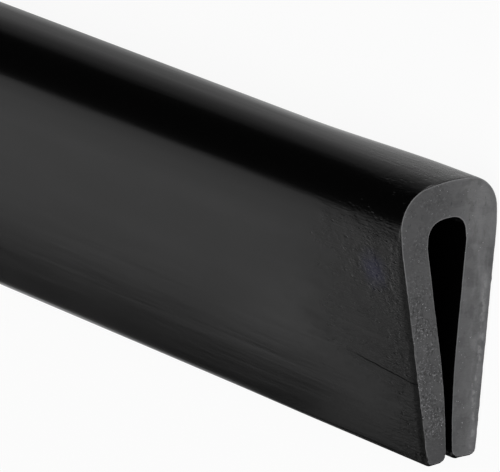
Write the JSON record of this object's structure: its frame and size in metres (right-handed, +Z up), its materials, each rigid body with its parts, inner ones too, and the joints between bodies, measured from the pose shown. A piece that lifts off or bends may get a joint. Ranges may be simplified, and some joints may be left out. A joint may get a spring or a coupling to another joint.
{
  "type": "edge trim seal",
  "caption": "Straight length of black rubber push-on edge trim with a rounded crown, tapering legs and a slot that narrows towards the lips.",
  "frame": {"origin": "under the middle of the strip, on the level surface that its far flank lies on", "axes": "+X along the strip towards the cut end that the picture shows, +Y from the lips to the crown, +Z up from the flank that it lies on to the flank that the picture shows"},
  "size_m": [0.3048, 0.0152, 0.0063],
  "materials": {
    "rubber": "satin black dense rubber, matt where cut"
  },
  "bodies": {
    "root": {"edge_trim": "rubber"}
  },
  "joints": []
}
